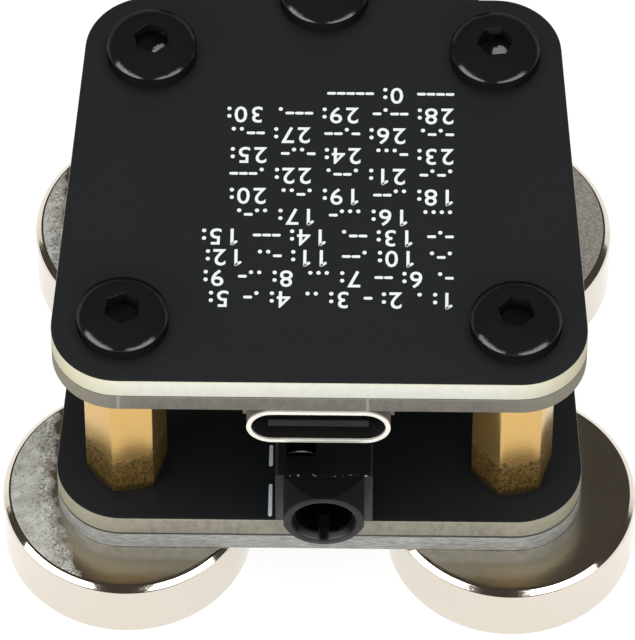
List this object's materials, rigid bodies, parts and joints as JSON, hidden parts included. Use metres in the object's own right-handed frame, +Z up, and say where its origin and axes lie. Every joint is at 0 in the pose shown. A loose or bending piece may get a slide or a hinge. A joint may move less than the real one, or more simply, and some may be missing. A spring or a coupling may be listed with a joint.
{
  "type": "double paddle morse key",
  "caption": "Small double paddle Morse key on two stacked circuit boards with brass pillars, jack, USB-C port and disc magnet feet",
  "frame": {"origin": "under the middle of the whole key, on the surface that the magnets stand on", "axes": "+Z up, +Y towards the finger pieces, X across the key"},
  "size_m": [0.0402, 0.0564, 0.0248],
  "materials": {
    "black_board": "black solder mask on glass-fibre board, with pale cut edges",
    "steel_plate": "bare steel sheet with a ground edge",
    "nickel_magnet": "nickel plate, bright on the chamfer and sides, fine grain on the flat",
    "brass": "turned and drawn brass, lightly worn",
    "black_screw": "black oxide, glossy with oil",
    "steel_screw": "zinc plated",
    "steel_pin": "ground steel",
    "silver_contact": "polished silver",
    "black_plastic": "moulded black plastic, satin",
    "nickel_shell": "drawn steel with bright nickel",
    "tinned_metal": "bright tin",
    "gold_contact": "gold flash",
    "tan_ceramic": "fired ceramic body"
  },
  "bodies": {
    "key_base": {"cover_board": "black_board", "main_board": "black_board", "base_board": "black_board", "steel_plate": "steel_plate", "near_left_magnet": "nickel_magnet", "near_right_magnet": "nickel_magnet", "far_left_magnet": "nickel_magnet", "far_right_magnet": "nickel_magnet", "near_left_pillar": "brass", "near_right_pillar": "brass", "far_left_pillar": "brass", "far_right_pillar": "brass", "contact_post": "brass", "top_screws": "black_screw", "base_screws": "steel_screw", "left_lower_bush": "brass", "left_upper_bush": "brass", "right_lower_bush": "brass", "right_upper_bush": "brass", "jack_body": "black_plastic", "jack_ground_sleeve": "tinned_metal", "jack_contacts": "tinned_metal", "usb_shell": "nickel_shell", "usb_insulator": "black_plastic", "usb_contacts": "gold_contact", "keyer_chip": "black_plastic", "chip_leads": "tinned_metal", "capacitors": "tan_ceramic", "resistors": "black_plastic"},
    "left_paddle": {"left_lever": "brass", "left_pivot_pin": "steel_pin", "left_finger_piece": "black_plastic", "left_finger_screws": "steel_screw", "left_contact_rivet": "silver_contact", "left_return_magnet": "nickel_magnet"},
    "left_gap_adjuster": {"left_gap_screw": "brass"},
    "right_paddle": {"right_lever": "brass", "right_pivot_pin": "steel_pin", "right_finger_piece": "black_plastic", "right_finger_screws": "steel_screw", "right_contact_rivet": "silver_contact", "right_return_magnet": "nickel_magnet"},
    "right_gap_adjuster": {"right_gap_screw": "brass"}
  },
  "joints": [
    {"name": "left_paddle_pivot", "type": "hinge", "parent": "key_base", "child": "left_paddle", "pos_m": [-0.0056, -0.00945, 0.0142], "axis": [0, 0, -1], "range_deg": [0, 1.4], "stiffness_Nm_per_rad": 0.02, "springref_deg": -5.73},
    {"name": "left_gap_screw_turn", "type": "hinge", "parent": "key_base", "child": "left_gap_adjuster", "pos_m": [-0.0108, 0.00055, 0.0142], "axis": [-1, 0, 0], "range_deg": [-180, 180]},
    {"name": "right_paddle_pivot", "type": "hinge", "parent": "key_base", "child": "right_paddle", "pos_m": [0.0056, -0.00945, 0.0142], "axis": [0, 0, 1], "range_deg": [0, 1.4], "stiffness_Nm_per_rad": 0.02, "springref_deg": -5.73},
    {"name": "right_gap_screw_turn", "type": "hinge", "parent": "key_base", "child": "right_gap_adjuster", "pos_m": [0.0108, 0.00055, 0.0142], "axis": [1, 0, 0], "range_deg": [-180, 180]}
  ]
}
